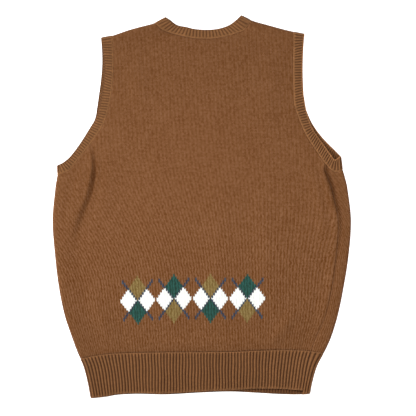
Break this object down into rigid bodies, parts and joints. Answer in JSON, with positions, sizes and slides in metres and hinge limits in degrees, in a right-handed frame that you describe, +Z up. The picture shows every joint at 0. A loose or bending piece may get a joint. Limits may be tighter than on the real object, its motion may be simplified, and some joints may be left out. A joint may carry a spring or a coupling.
{
  "type": "knitted sweater vest",
  "caption": "Sleeveless knitted pullover laid flat with its back up: plain knit body, ribbed hem, neckband and armhole bands, and a band of traditional diamonds.",
  "frame": {"origin": "On the surface that the vest lies on, under the middle of the whole garment", "axes": "X across the garment, Y from the hem to the neck, Z up from the surface it lies on"},
  "size_m": [0.5447, 0.6996, 0.0108],
  "materials": {
    "plain_knit": "brown stockinette, soft wool and cotton yarn, matt",
    "rib_knit": "brown one-by-one rib in the same yarn, matt"
  },
  "bodies": {
    "root": {"back_panel": "plain_knit", "front_panel": "plain_knit", "hem_rib_back": "rib_knit", "hem_rib_front": "rib_knit", "neckband": "rib_knit", "armhole_band_left": "rib_knit", "armhole_band_right": "rib_knit"}
  },
  "joints": []
}
